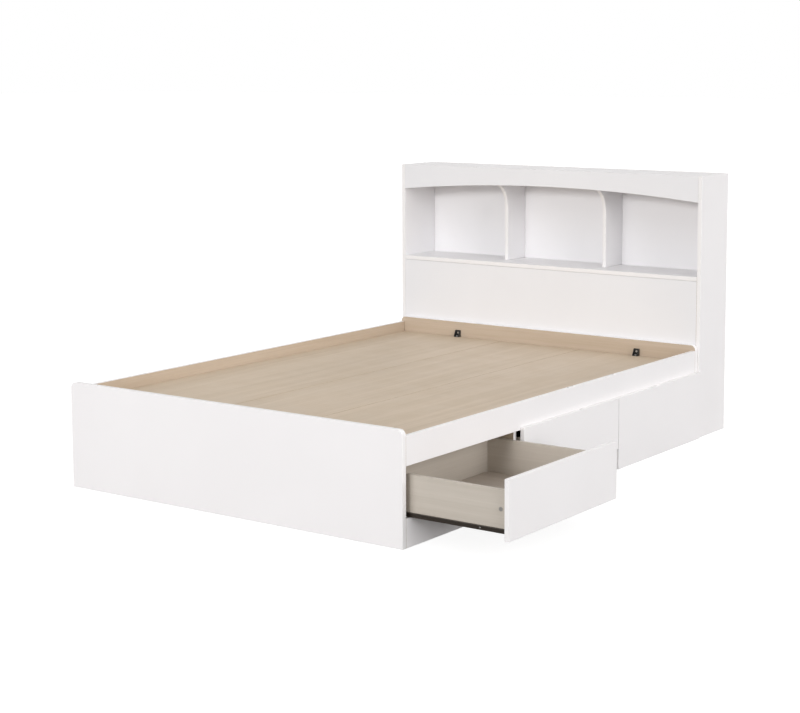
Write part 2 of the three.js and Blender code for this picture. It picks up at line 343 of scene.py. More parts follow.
haze, haze_in, haze_out = effect_group(
    "handling_haze",
    {
        "Vector": ("NodeSocketVector", None),
        "Smooth": ("NodeSocketFloat", 0.35),
        "Dull": ("NodeSocketFloat", 0.5),
    },
    {"Roughness": "NodeSocketFloat"},
)
smears = fit_range(haze, noise(haze, haze_in.outputs["Vector"], 7, 4.0, 0.6), 0.3, 0.7)
span = calculate(haze, "SUBTRACT", haze_in.outputs["Dull"], haze_in.outputs["Smooth"])
spread = calculate(haze, "MULTIPLY", smears, span)
link(haze, calculate(haze, "ADD", spread, haze_in.outputs["Smooth"]), haze_out.inputs["Roughness"])


# %% [markdown]
# ## Finishes
# A finish is one material. All of them start the same way, so one helper makes the Principled shader,
# the object coordinates, the haze for its roughness and the bump for its relief. Each finish then adds
# only its own colour.

# %% The start of every finish
def start_finish(name, smooth, dull, specular=0.5, metallic=0.0):
    material = bpy.data.materials.new(name)
    material.use_nodes = True
    tree = material.node_tree
    shader = tree.nodes["Principled BSDF"]
    shader.inputs["Specular IOR Level"].default_value = specular
    shader.inputs["Metallic"].default_value = metallic
    place = put(tree, "ShaderNodeTexCoord").outputs["Object"]
    gloss = use_group(tree, haze, place)
    gloss.inputs["Smooth"].default_value = smooth
    gloss.inputs["Dull"].default_value = dull
    link(tree, gloss.outputs["Roughness"], shader.inputs["Roughness"])
    return material, tree, shader, place


def use_group(tree, group, vector):
    node = put(tree, "ShaderNodeGroup", node_tree=group)
    link(tree, vector, node.inputs["Vector"])
    return node


def relief(tree, shader, height, depth):
    bump = put(tree, "ShaderNodeBump")
    bump.inputs["Strength"].default_value = 1.0
    bump.inputs["Distance"].default_value = depth
    link(tree, height, bump.inputs["Height"])
    link(tree, bump.outputs["Normal"], shader.inputs["Normal"])


def edge_mask(tree, place):
    rim = put(tree, "ShaderNodeAttribute", attribute_name="rim")
    rubbed = use_group(tree, rub, place)
    link(tree, rim.outputs["Fac"], rubbed.inputs["Rim"])
    return rubbed.outputs["Mask"]


# %% [markdown]
# White melamine is never a dead flat white: the paper's tone drifts by a percent or so over a board,
# and edges that are handled pick up a little grey. The headboard has two more whites, which make up
# for what the studio's light can't do: a cooler, greyer one on its lower panel and arched board,
# which is painted shade, and a lighter one inside the bookcase, which is painted light. The
# ironed-on strips are a smoother plastic.

# %% White board faces and edge strips
PLATE_DEPTH = 0.04 * MM
STRIP_DEPTH = 0.01 * MM


def white_finish(name, colour, drifted, rubbed, smooth, dull, depth):
    material, tree, shader, place = start_finish(name, smooth, dull, 0.42)
    press = use_group(tree, pebble, place)
    drifting = blend_colours(tree, press.outputs["Cloud"], colour, drifted)
    touched = blend_colours(tree, edge_mask(tree, place), drifting, rubbed)
    link(tree, touched, shader.inputs["Base Color"])
    relief(tree, shader, press.outputs["Height"], depth)
    return material


WHITE = white_finish(
    "white_melamine", (0.84, 0.818, 0.821), (0.828, 0.806, 0.808), (0.79, 0.77, 0.77),
    smooth=0.34, dull=0.46, depth=PLATE_DEPTH,
)
# Painted shade: a greyer, cooler copy of the white for the front of the lower panel and the arched board.
WHITE_PAINTED_SHADE = white_finish(
    "headboard_white_painted_shade", (0.785, 0.78, 0.794), (0.775, 0.768, 0.782), (0.75, 0.74, 0.74),
    smooth=0.36, dull=0.48, depth=PLATE_DEPTH,
)
# Painted light: a lighter copy of the white for the faces inside the bookcase, lifting the shade that falls
# there.
WHITE_PAINTED_LIGHT = white_finish(
    "headboard_white_painted_light", (0.855, 0.845, 0.858), (0.845, 0.835, 0.848), (0.80, 0.79, 0.79),
    smooth=0.34, dull=0.46, depth=PLATE_DEPTH,
)
WHITE_STRIP = white_finish(
    "white_edge_strip", (0.848, 0.828, 0.826), (0.838, 0.818, 0.816), (0.79, 0.775, 0.77),
    smooth=0.26, dull=0.36, depth=STRIP_DEPTH,
)


# %% [markdown]
# The wood print runs along each board's length, so the finish is made once for each direction. A
# Mapping node turns the pattern; the boards themselves stay where they are. The two upright panels
# that look down on the mattress from the head and the far side take a darker copy of the print,
# which is painted shade for the weaker light on upright faces.

# %% Pale wood print
GRAIN_TURNS = {"Y": (0, 0, 0), "X": (0, 0, math.pi / 2)}
PRINT_DEPTH = 0.05 * MM


def print_finish(name, colours, axis, smooth, dull):
    """colours are the print's light and dark tones and its tone where an edge is rubbed."""
    material, tree, shader, place = start_finish(name + "_" + axis.lower(), smooth, dull, 0.35)
    light_tone, dark_tone, rubbed = colours
    turned = put(tree, "ShaderNodeMapping")
    turned.inputs["Rotation"].default_value = GRAIN_TURNS[axis]
    link(tree, place, turned.inputs["Vector"])
    pattern = use_group(tree, grain, turned.outputs["Vector"])
    pattern.inputs["Light"].default_value = (*light_tone, 1)
    pattern.inputs["Dark"].default_value = (*dark_tone, 1)
    touched = blend_colours(tree, edge_mask(tree, place), pattern.outputs["Color"], rubbed)
    link(tree, touched, shader.inputs["Base Color"])
    press = use_group(tree, pebble, place)
    height = calculate(tree, "ADD", press.outputs["Height"], pattern.outputs["Height"])
    relief(tree, shader, height, PRINT_DEPTH)
    return material


PALE_TONES = ((0.600, 0.495, 0.385), (0.515, 0.415, 0.305), (0.44, 0.35, 0.25))
# Painted shade: the pale print's tones made darker for the upright panels round the mattress.
SHADED_PRINT_TONES = ((0.525, 0.428, 0.335), (0.450, 0.357, 0.266), (0.40, 0.31, 0.22))
BIRCH = {axis: print_finish("pale_print", PALE_TONES, axis, 0.42, 0.56) for axis in "XY"}
SHADED_BIRCH = {axis: print_finish("shaded_print", SHADED_PRINT_TONES, axis, 0.42, 0.56) for axis in "XY"}

# %% [markdown]
# The drawer boxes are wrapped in a thinner grey-beige foil with hardly any figure. Their bottoms are
# hardboard sheets with the same foil on top, a little browner because the sheet shows through.

# %% Drawer foil
FOIL_TONES = ((0.545, 0.495, 0.435), (0.480, 0.430, 0.370), (0.40, 0.35, 0.29))
SHEET_TONES = ((0.530, 0.465, 0.405), (0.460, 0.395, 0.335), (0.36, 0.30, 0.24))
FOIL = {axis: print_finish("drawer_foil", FOIL_TONES, axis, 0.36, 0.50) for axis in "XY"}
SHEET_FOIL = print_finish("drawer_sheet_foil", SHEET_TONES, "X", 0.45, 0.6)
print("printed finishes", len(BIRCH) + len(SHADED_BIRCH) + len(FOIL) + 1)


# %% [markdown]
# Bare chip edges are rough and take no gloss at all. The hardboard's back is wood fibre too, but has
# no flakes: it is a pressed felt, fairly smooth and brown, so it only needs soft mottling.

# %% Bare chipboard and bare hardboard
def bare_chip_finish():
    material, tree, shader, place = start_finish("bare_chipboard", 0.8, 0.95, 0.2)
    cut = use_group(tree, chips, place)
    link(tree, cut.outputs["Color"], shader.inputs["Base Color"])
    relief(tree, shader, cut.outputs["Height"], 0.4 * MM)
    return material


def hardboard_finish():
    material, tree, shader, place = start_finish("bare_hardboard", 0.5, 0.68, 0.3)
    press = use_group(tree, pebble, place)
    fibres = noise(tree, place, 240, 4.0, 0.7)
    mottled = blend_colours(tree, fit_range(tree, fibres, 0.3, 0.7), (0.33, 0.22, 0.13), (0.25, 0.16, 0.09))
    faded = blend_colours(tree, press.outputs["Cloud"], mottled, (0.31, 0.21, 0.13))
    link(tree, faded, shader.inputs["Base Color"])
    relief(tree, shader, fibres, 0.1 * MM)
    return material


CHIP = bare_chip_finish()
HARDBOARD = hardboard_finish()


# %% [markdown]
# The slides are pressed steel, dipped in dark brown enamel: thick enough to round the edges, with a
# slight orange-peel. Screws are zinc plated, the slide shoes are nylon, and the small corner blocks
# are black plastic with a spark-eroded grain.

# %% Metal and plastic
def moulded_finish(name, colour, worn, smooth, dull, specular, scale, depth, metallic=0.0):
    material, tree, shader, place = start_finish(name, smooth, dull, specular, metallic)
    skin = noise(tree, place, scale, 3.0)
    tinted = blend_colours(tree, fit_range(tree, skin, 0.3, 0.7), colour, tuple(c * 0.9 for c in colour))
    touched = blend_colours(tree, edge_mask(tree, place), tinted, worn)
    link(tree, touched, shader.inputs["Base Color"])
    relief(tree, shader, skin, depth)
    return material


ENAMEL = moulded_finish(
    "brown_enamel", (0.028, 0.020, 0.014), (0.06, 0.05, 0.04), 0.38, 0.5, 0.35, 500, 0.06 * MM
)
CAST = moulded_finish(
    "die_cast_zinc", (0.36, 0.35, 0.33), (0.46, 0.45, 0.43), 0.35, 0.5, 0.5, 900, 0.05 * MM, 0.6
)
ZINC = moulded_finish(
    "zinc_plate", (0.62, 0.61, 0.58), (0.75, 0.74, 0.72), 0.25, 0.4, 0.5, 700, 0.03 * MM, 1.0
)
NYLON = moulded_finish(
    "nylon", (0.72, 0.71, 0.66), (0.60, 0.59, 0.55), 0.35, 0.5, 0.5, 800, 0.03 * MM
)
BLACK = moulded_finish(
    "black_plastic", (0.018, 0.017, 0.016), (0.05, 0.05, 0.05), 0.42, 0.58, 0.45, 1200, 0.08 * MM
)
print(len(bpy.data.materials), "finishes from", len(bpy.data.node_groups), "shared effects")


# %% [markdown]
# ## Making boards
# A board starts as a cube, or as an outline that is extruded to its thickness. Each face then takes
# the finish for the way it points, every edge is softened, and each flat face is inset a little, so
# that its inner points can carry rim 0 while the edge keeps rim 1. The bevel runs before the inset
# because an inset first would leave the bevel nothing square to cut.

# %% Board helpers
SOFT_EDGE = 0.8 * MM
RIM_WIDTH = 4.0 * MM
FIT_GAP = 0.3 * MM  # what boards that meet keep between them
SHARP_TURN = 20  # degrees: edges that turn more than this are softened
FLAT_TURN = 0.1  # degrees: faces that turn less than this are one plane
SAME = 1e-6  # lengths that differ by less are the same
DIRECTIONS = {
    "+X": (1, 0, 0), "-X": (-1, 0, 0),
    "+Y": (0, 1, 0), "-Y": (0, -1, 0),
    "+Z": (0, 0, 1), "-Z": (0, 0, -1),
}


def block(low, high):
    """A bmesh cube between two corners."""
    low, high = Vector(low), Vector(high)
    bm = bmesh.new()
    bmesh.ops.create_cube(bm, size=1.0)
    size = high - low
    bmesh.ops.scale(bm, vec=size, verts=bm.verts)
    bmesh.ops.translate(bm, vec=(low + high) / 2, verts=bm.verts)
    return bm


def cut_out(outline, axis, low, high):
    """An outline, as pairs in the plane across the axis, given a thickness from low to high."""
    bm = bmesh.new()
    others = [i for i in range(3) if i != axis]
    corners = []
    for pair in outline:
        point = [0.0, 0.0, 0.0]
        point[axis] = low
        point[others[0]], point[others[1]] = pair
        corners.append(bm.verts.new(point))
    edges = [bm.edges.new(ends) for ends in zip(corners, corners[1:] + corners[:1])]
    bmesh.ops.contextual_create(bm, geom=edges)
    return thicken(bm, axis, high - low)


def new_verts(grown):
    """The vertices that an extrude has just made."""
    return [v for v in grown["geom"] if isinstance(v, bmesh.types.BMVert)]


def new_edges(grown):
    """The edges that an extrude has just made."""
    return [e for e in grown["geom"] if isinstance(e, bmesh.types.BMEdge)]


def thicken(bm, axis, thickness):
    """Turns a flat sheet of faces into a board by extruding it along an axis."""
    step = Vector((0, 0, 0))
    step[axis] = thickness
    grown = bmesh.ops.extrude_face_region(bm, geom=bm.faces[:])
    bmesh.ops.translate(bm, vec=step, verts=new_verts(grown))
    bmesh.ops.recalc_face_normals(bm, faces=bm.faces)
    return bm


def soften(bm, edges, offset, segments):
    """Bevels the edges, and returns the narrow faces that the bevel made."""
    made = bmesh.ops.bevel(
        bm, geom=edges, offset=offset, offset_type="OFFSET", segments=segments, profile=0.5,
        affect="EDGES", material=-1, clamp_overlap=True,
    )
    return set(made["faces"])


def sharp_edges(bm, limit):
    """The edges where two faces meet at more than the limit in degrees."""
    return [e for e in bm.edges if len(e.link_faces) == 2 and e.calc_face_angle() > math.radians(limit)]


def paint_faces(bm, finishes, default):
    """Gives each face the number of the finish for the way it points, and returns the finishes."""
    used = [default]
    for face in bm.faces:
        best = max(DIRECTIONS, key=lambda d: face.normal.dot(Vector(DIRECTIONS[d])))
        finish = finishes.get(best, default)
        if finish not in used:
            used.append(finish)
        face.material_index = used.index(finish)
    return used


def curves_on(face, narrow):
    """True where a face meets the next one at a slight angle, so that both are part of one curve."""
    for edge in face.edges:
        if len(edge.link_faces) == 2 and edge.calc_face_angle() > math.radians(FLAT_TURN):
            if not narrow.intersection(edge.link_faces):
                return True
    return False


def mark_rim(bm, flat, width):
    """Insets the flat faces, and gives the points rim 1 at the edges and 0 inside."""
    rim = bm.verts.layers.float.new("rim")
    bmesh.ops.inset_region(bm, faces=flat, thickness=width, depth=0, use_even_offset=True, use_boundary=True)
    for vert in bm.verts:
        vert[rim] = 1.0
    for face in flat:
        for vert in face.verts:
            vert[rim] = 0.0


def dress(bm, finishes, default, edge=SOFT_EDGE, rim=RIM_WIDTH, segments=2, limit=SHARP_TURN):
    """Paints, softens and marks the rim of a square-edged bmesh, and returns its finishes."""
    used = paint_faces(bm, finishes, default)
    narrow = soften(bm, sharp_edges(bm, limit), edge, segments)
    flat = [f for f in bm.faces if f not in narrow]
    for face in bm.faces:
        face.smooth = face in narrow or curves_on(face, narrow)
    mark_rim(bm, flat, rim)
    return used


def piece(name, bm, finishes, body, stands_for=()):
    """An object made from the bmesh, which rides its body and stands for the CAD nodes named."""
    mesh = bpy.data.meshes.new(name)
    bm.to_mesh(mesh)
    bm.free()
    for finish in finishes:
        mesh.materials.append(finish)
    made = bpy.data.objects.new(name, mesh)
    scene.collection.objects.link(made)
    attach(made, body)
    if stands_for:
        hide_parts(*stands_for)
    return made


def board(node, finishes, default, body="bed", slot="white_laminate", **how):
    """A rectangular board in the place of a CAD node."""
    bm = block(*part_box(node))
    used = dress(bm, finishes, default, **how)
    return piece(node + "_board", bm, used, body, [node])


# %% [markdown]
# ## The two ends of the bed
# The footboard and the head-end panel are the same board with its two top corners rounded. The cube's
# two short upper edges are bevelled wide, with many segments, before anything else, and the strip that
# covers the top then runs round the corners in one piece, as a real strip is bent round them.

# %% Footboard and head-end panel
END_CORNER = 20 * MM
CORNER_STEPS = 10


def top_corners(bm, top):
    """The short upper edges, which run through the board's thickness."""
    upper = [e for e in bm.edges if all(abs(v.co.z - top) < SAME for v in e.verts)]
    return [e for e in upper if abs(e.verts[0].co.x - e.verts[1].co.x) < SAME]


def end_panel(node, finishes, strip):
    low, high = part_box(node)
    bm = block(low, high)
    soften(bm, top_corners(bm, high.z), END_CORNER, CORNER_STEPS)
    used = dress(bm, finishes, strip)
    return piece(node + "_board", bm, used, "bed", [node])


end_panel("footboard", {"-Y": WHITE, "+Y": BIRCH["X"], "-Z": CHIP}, WHITE_STRIP)
# The head-end panel takes the darker print, which is painted shade.
end_panel("head_end_panel", {"-Y": SHADED_BIRCH["X"], "+Y": SHADED_BIRCH["X"], "-Z": CHIP}, WHITE_STRIP)

# %% [markdown]
# ## Sides
# The rails and the far side are white outside and wood-print inside, with a white strip along the
# top. Their ends butt against the end panels and are left bare, and so is the edge on the floor.
# The blank panel at the head is fixed outside the two rails, in one plane with the drawer fronts, so
# it is finished as they are: white on both faces, with a strip on every edge.

# %% Side boards
for node, under in (("side_top_rail", WHITE_STRIP), ("side_bottom_rail", CHIP)):
    board(node, {"+X": WHITE, "-X": BIRCH["Y"], "+Z": WHITE_STRIP, "-Z": under}, CHIP)
board("side_end_panel", {"+X": WHITE, "-X": WHITE}, WHITE_STRIP)
# The far side's inner face takes the darker print, which is painted shade.
board("far_side_panel", {"-X": WHITE, "+X": SHADED_BIRCH["Y"], "+Z": WHITE_STRIP}, CHIP)

# %% [markdown]
# ## Inside the bed
# Under the platform stand two long panels, below the platform's two seams, and shorter panels across.
# They carry the load but are never seen when the bed is made up, so only their faces have the print.
# The panel between the two drawers is the exception: its front edge shows when a drawer is out, and
# it gets a white strip. The outer cross panels are notched at a top corner to let the ledger pass.

# %% Inner panels and ledgers
for node in ("spine_near", "spine_far"):
    board(node, {"+X": BIRCH["Y"], "-X": BIRCH["Y"]}, CHIP, slot="birch_laminate")
for place in ("foot", "middle", "head"):
    board("centre_cross_panel_" + place, {"+Y": BIRCH["X"], "-Y": BIRCH["X"]}, CHIP, slot="birch_laminate")
for node in ("ledger_near", "ledger_far", "slide_batten_foot"):
    board(node, {}, BIRCH["X" if node == "slide_batten_foot" else "Y"], slot="birch_laminate", rim=1.5 * MM)


def notched_panel(node, side, strip):
    """side is +1 where the panel's outer edge lies towards +X, -1 where it lies towards -X."""
    low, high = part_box(node)
    ledger_low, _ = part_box("ledger_near")
    outer, inner = (high.x, low.x) if side > 0 else (low.x, high.x)
    notch = ledger_low.z - FIT_GAP
    shoulder = outer - side * (high.z - notch)
    outline = [(inner, 0), (outer, 0), (outer, notch), (shoulder, notch), (shoulder, high.z), (inner, high.z)]
    bm = cut_out(outline, 1, low.y, high.y)
    finishes = {"+Y": BIRCH["X"], "-Y": BIRCH["X"], "+X" if side > 0 else "-X": strip}
    used = dress(bm, finishes, CHIP)
    return piece(node + "_board", bm, used, "bed", [node])


notched_panel("divider_middle", 1, WHITE_STRIP)
notched_panel("divider_head", 1, WHITE_STRIP)
notched_panel("far_cross_panel_foot", -1, CHIP)
notched_panel("far_cross_panel_head", -1, CHIP)


# %% [markdown]
# ## Mattress platform
# Three loose boards lie side by side on the inner panels. They are cut a hair narrow so that they drop
# in easily, and their raw edges are crisp, so each joint shows as a thin dark line.

# %% Platform boards
SEAM = 0.5 * MM


def fitted_board(node, finishes, default, body, slot, low_extra, high_extra, **how):
    """A board that ends past its CAD node's box, in a groove, or short of it, to leave a seam."""
    low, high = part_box(node)
    bm = block(low - Vector(low_extra), high + Vector(high_extra))
    used = dress(bm, finishes, default, **how)
    return piece(node + "_board", bm, used, body, [node])


for place, far_cut, near_cut in (("near", SEAM, 0), ("middle", SEAM, SEAM), ("far", 0, SEAM)):
    fitted_board(
        "platform_board_" + place, {"+Z": BIRCH["Y"], "-Z": BIRCH["Y"]}, CHIP, "bed", "birch_laminate",
        (-far_cut, 0, 0), (-near_cut, 0, 0), edge=0.6 * MM,
    )


# %% [markdown]
# ## Small hardware
# Screws, cam locks and slide fittings are tiny, but they are what makes flat-pack furniture read as
# real. Each is modelled once, pointing up at the origin, and then turned and set in place. Its top
# starts as a square grid. The grid's lines are moved to where a cross needs them, its rim is drawn out
# to a circle, and the cross is inset and pushed down, so that it catches a real shadow.

# %% Crossed tops
CROSS_SQUARE = 0.62  # half the side of the square grid, as a share of the head's radius
CROSS_WIDTH = 0.124  # half an arm's width, as a share of that half side
CROSS_LENGTH = 0.72  # how far an arm reaches, likewise
CROSS_SLOPE = 0.03  # how far the recess narrows, as a share of the radius
CROSS_DEPTH = 0.5  # as a share of the head's height
TOP_RADIUS = 0.95  # where the top's rim lies, as a share of the radius


def widen_ring(bm, edges, size, level):
    """Extrudes a ring of edges to a new size and height, and returns the new ring."""
    grown = bmesh.ops.extrude_edge_only(bm, edges=edges)
    verts = new_verts(grown)
    bmesh.ops.scale(bm, vec=(size, size, 1), verts=verts)
    for vert in verts:
        vert.co.z = level
    return new_edges(grown)


def crossed_top(bm, radius, height):
    """A round top with a cross pressed into it. The rim of the top is returned."""
    half = radius * CROSS_SQUARE
    lines = (CROSS_WIDTH, CROSS_LENGTH, 1.0)  # in place of the grid's own 0.2, 0.6 and 1.0
    for vert in bmesh.ops.create_grid(bm, x_segments=5, y_segments=5, size=half)["verts"]:
        for i in (0, 1):
            line = lines[int(abs(vert.co[i]) / half * 2.5)]
            vert.co[i] = math.copysign(half * line, vert.co[i])
        vert.co.z = height
    ring = widen_ring(bm, [e for e in bm.edges if e.is_boundary], 1.0, height)
    for vert in {v for e in ring for v in e.verts}:
        vert.co.xy = vert.co.xy.normalized() * radius * TOP_RADIUS
    arms = []
    for face in bm.faces:
        centre = face.calc_center_median()
        near, away = sorted((abs(centre.x), abs(centre.y)))
        if near < half * CROSS_WIDTH and away < half * CROSS_LENGTH:
            arms.append(face)
    bmesh.ops.inset_region(
        bm, faces=arms, thickness=radius * CROSS_SLOPE, depth=-height * CROSS_DEPTH,
        use_even_offset=True, use_boundary=True,
    )
    return ring


# %% [markdown]
# A screw's head is that top with a domed rim below it, and a cam lock has a narrow step round its top.

# %% Screw heads and cam locks
HEAD_RINGS = ((1.04, 0.85), (1.05, 0.35), (1.0, -0.2))  # growth, and level as a share of the height
CAM_TOP = 0.7 * MM
CAM_RINGS = ((1.05, 0.5 * MM), (1.12, 0.5 * MM), (1.0, -0.6 * MM))  # growth, level


def close_under(bm, edges):
    bmesh.ops.holes_fill(bm, edges=edges, sides=0)
    bmesh.ops.recalc_face_normals(bm, faces=bm.faces)
    return bm


def screw_head(radius, height):
    """A domed head with a pressed cross, standing on z 0."""
    bm = bmesh.new()
    edges = crossed_top(bm, radius, height)
    for size, level in HEAD_RINGS:
        edges = widen_ring(bm, edges, size, height * level)
    close_under(bm, edges)
    for face in bm.faces:
        on_rim = face.calc_center_median().xy.length > radius * 0.85
        face.smooth = on_rim and abs(face.normal.z) < 0.95
    return bm


def cam_lock(radius):
    """The round lock that draws two boards together: a crossed disc inside a thin collar."""
    bm = bmesh.new()
    edges = crossed_top(bm, radius, CAM_TOP)
    for size, level in CAM_RINGS:
        edges = widen_ring(bm, edges, size, level)
    return close_under(bm, edges)


def turned_to(direction, place):
    """The matrix that turns a fitting's top to a direction and sets it in its place."""
    return Matrix.Translation(Vector(place)) @ Vector(direction).to_track_quat("Z", "Y").to_matrix().to_4x4()


def between(low, high, share):
    return low + share * (high - low)


def set_in_place(parts):
    """Joins (bmesh, matrix) pairs into one bmesh."""
    whole = bmesh.new()
    for part, matrix in parts:
        copy = bpy.data.meshes.new("part")
        part.transform(matrix)
        part.to_mesh(copy)
        part.free()
        whole.from_mesh(copy)
        bpy.data.meshes.remove(copy)
    return whole


def hardware(name, parts, finish, body):
    return piece(name, set_in_place(parts), [finish], body)


def screws(name, size, facing, spots, body):
    """Equal screws whose heads all face one way."""
    heads = [(screw_head(*size), turned_to(facing, spot)) for spot in spots]
    return hardware(name, heads, ZINC, body)


# %% [markdown]
# ## Drawers
# A drawer is a box of 12 mm boards with a thicker white front that overlaps the opening all round.
# The front has a strip on all four edges. The box's sides are grooved for the bottom sheet, so the
# sheet's mesh reaches a few millimetres into them, which also hides the joint, as the groove does.

# %% Drawer boxes
GROOVE = 4 * MM


def drawer(place):
    body = place + "_drawer"
    name = "drawer_" + place + "_"
    board(name + "front", {"+X": WHITE, "-X": WHITE}, WHITE_STRIP, body, edge=1.0 * MM, segments=3)
    for end in ("foot", "head"):
        faces = {"+Y": FOIL["X"], "-Y": FOIL["X"], "+Z": FOIL["X"]}
        board(name + "side_" + end, faces, CHIP, body, "drawer_laminate", rim=2.5 * MM)
    faces = {"+X": FOIL["Y"], "-X": FOIL["Y"], "+Z": FOIL["Y"]}
    fitted_board(
        name + "back", faces, CHIP, body, "drawer_laminate",
        (0, FIT_GAP, 0), (0, FIT_GAP, 0), rim=2.5 * MM,
    )
    fitted_board(
        name + "bottom", {"+Z": SHEET_FOIL}, HARDBOARD, body, "drawer_sheet",
        (0, GROOVE, 0), (0, GROOVE, 0), edge=0.4 * MM, rim=1.0 * MM,
    )


for place in ("foot", "head"):
    drawer(place)


# %% [markdown]
# A cam lock sits in the outer face of each drawer side, just behind the front, and two thick screws
# in each side hold the back. The locks are a dark cast metal, so they show as small grey discs.

# %% Locks and screws of the drawer boxes
CAM_RADIUS = 6.0 * MM
CAM_SETBACK = 24 * MM
CAM_RISE = 6 * MM  # above the middle of the side
CAM_PROUD = 0.2 * MM
BACK_SCREW = (3.4 * MM, 1.2 * MM)  # radius, height
BACK_SCREW_SETBACK = 6 * MM
BACK_SCREW_SHARES = (0.3, 0.75)


def drawer_fittings(place):
    body = place + "_drawer"
    name = "drawer_" + place + "_"
    for end, way in (("foot", -1), ("head", 1)):
        low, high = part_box(name + "side_" + end)
        face = high.y if way > 0 else low.y
        cam_spot = (high.x - CAM_SETBACK, face + way * CAM_PROUD, (low.z + high.z) / 2 + CAM_RISE)
        cam = (cam_lock(CAM_RADIUS), turned_to((0, way, 0), cam_spot))
        hardware(name + "cam_" + end, [cam], CAST, body)
        heights = [between(low.z, high.z, share) for share in BACK_SCREW_SHARES]
        spots = [(low.x + BACK_SCREW_SETBACK, face, height) for height in heights]
        screws(name + "back_screws_" + end, BACK_SCREW, (0, way, 0), spots, body)


for place in ("foot", "head"):
    drawer_fittings(place)


# %% [markdown]
# ## Slides
# Each slide is two bent strips of steel. The channel is screwed to the panel beside the drawer, and
# the runner, which wraps the lower edge of the drawer's side, reaches into it. For both, the bent
# strip's section is extruded along the slide, and its bends are rounded.

# %% Channels and runners
STEEL = 1.2 * MM
BEND = 0.3 * MM
STEEL_RIM = 0.15 * MM
CHANNEL_SCREW = (3.6 * MM, 0.35 * MM)  # countersunk, so that the shoes slide over it
CHANNEL_SCREW_SHARES = (0.08, 0.45, 0.86)
RUNNER_SCREW = (3.0 * MM, 1.2 * MM)
RUNNER_SCREW_SHARES = (0.15, 0.81)
RUNNER_SCREW_RISE = 7.5 * MM


def channel(node, way):
    """way is +1 where the drawer lies towards +Y from the channel."""
    low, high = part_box(node)
    wall, lip = (low.y, high.y) if way > 0 else (high.y, low.y)
    web = wall + way * STEEL
    profile = [
        (wall, low.z), (lip, low.z), (lip, low.z + STEEL), (web, low.z + STEEL),
        (web, high.z - STEEL), (lip, high.z - STEEL), (lip, high.z), (wall, high.z),
    ]
    bm = cut_out(profile, 0, low.x, high.x)
    used = dress(bm, {}, ENAMEL, edge=BEND, rim=STEEL_RIM)
    piece(node + "_steel", bm, used, "bed", [node])
    middle = (low.z + high.z) / 2
    spots = [(between(low.x, high.x, share), web, middle) for share in CHANNEL_SCREW_SHARES]
    screws(node + "_screws", CHANNEL_SCREW, (0, way, 0), spots, "bed")


def runner(node, body, way):
    """way is +1 where the drawer lies towards +Y from the runner's outer lip."""
    low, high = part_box(node)
    outer, inner = (low.y, high.y) if way > 0 else (high.y, low.y)
    side_low, side_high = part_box(node.replace("runner", "side"))
    side_face = side_low.y if way > 0 else side_high.y
    web_in = side_face - way * FIT_GAP
    web_out = web_in - way * STEEL
    profile = [
        (web_out, low.z), (inner, low.z), (inner, low.z + STEEL), (web_in, low.z + STEEL),
        (web_in, high.z), (outer, high.z), (outer, high.z - STEEL), (web_out, high.z - STEEL),
    ]
    bm = cut_out(profile, 0, low.x, high.x)
    used = dress(bm, {}, ENAMEL, edge=BEND, rim=STEEL_RIM)
    piece(node + "_steel", bm, used, body, [node])
    height = low.z + RUNNER_SCREW_RISE
    spots = [(between(low.x, high.x, share), web_out, height) for share in RUNNER_SCREW_SHARES]
    screws(node + "_screws", RUNNER_SCREW, (0, -way, 0), spots, body)


# %% [markdown]
# Nylon shoes carry the runner in the channel. A groove in one is a narrow band of its running face,
# cut free by two planes and then inset and pushed in.

# %% Shoes
GROOVE_SHARES = (0.36, 0.64)
GROOVE_HALF = 1.2 * MM
GROOVE_DEPTH = 0.8 * MM


def width_along_x(face):
    along = [v.co.x for v in face.verts]
    return max(along) - min(along)


def shoe(node, body):
    """A nylon glide block with two shallow grooves across its running faces."""
    low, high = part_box(node)
    bm = block(low, high)
    for share in GROOVE_SHARES:
        for offset in (-GROOVE_HALF, GROOVE_HALF):
            cut = (between(low.x, high.x, share) + offset, 0, 0)
            geometry = bm.verts[:] + bm.edges[:] + bm.faces[:]
            bmesh.ops.bisect_plane(bm, geom=geometry, plane_co=cut, plane_no=(1, 0, 0))
    bands = [f for f in bm.faces if abs(f.normal.z) > 0.9 and width_along_x(f) < 2.5 * GROOVE_HALF]
    bmesh.ops.inset_individual(bm, faces=bands, thickness=0.25 * MM, depth=-GROOVE_DEPTH)
    used = dress(bm, {}, NYLON, edge=0.3 * MM, rim=0.3 * MM, limit=60)
    piece(node + "_nylon", bm, used, body, [node])


for place in ("foot", "head"):
    for end, way in (("foot", 1), ("head", -1)):
        name = "drawer_" + place + "_"
        channel(name + "channel_" + end, way)
        runner(name + "runner_" + end, place + "_drawer", way)
        shoe(name + "channel_" + end + "_shoe", "bed")
        shoe(name + "runner_" + end + "_shoe", place + "_drawer")


# %% [markdown]
# ## Corner blocks
# Two black blocks tie the head-end panel to the platform. A real one is thin moulded plastic: a foot
# and a back plate joined by two sloping cheeks, with a screw between them. The cheeks are the CAD
# wedge's outline, cut twice, and the plates are simple blocks.

# %% Corner blocks on the platform
BLOCK_WALL = 2.5 * MM
BLOCK_NOSE = 6 * MM
BLOCK_SCREW = (4.0 * MM, 1.8 * MM)
UPPER_SCREW_RISE = 17 * MM
LOWER_SCREW_SETBACK = 7 * MM


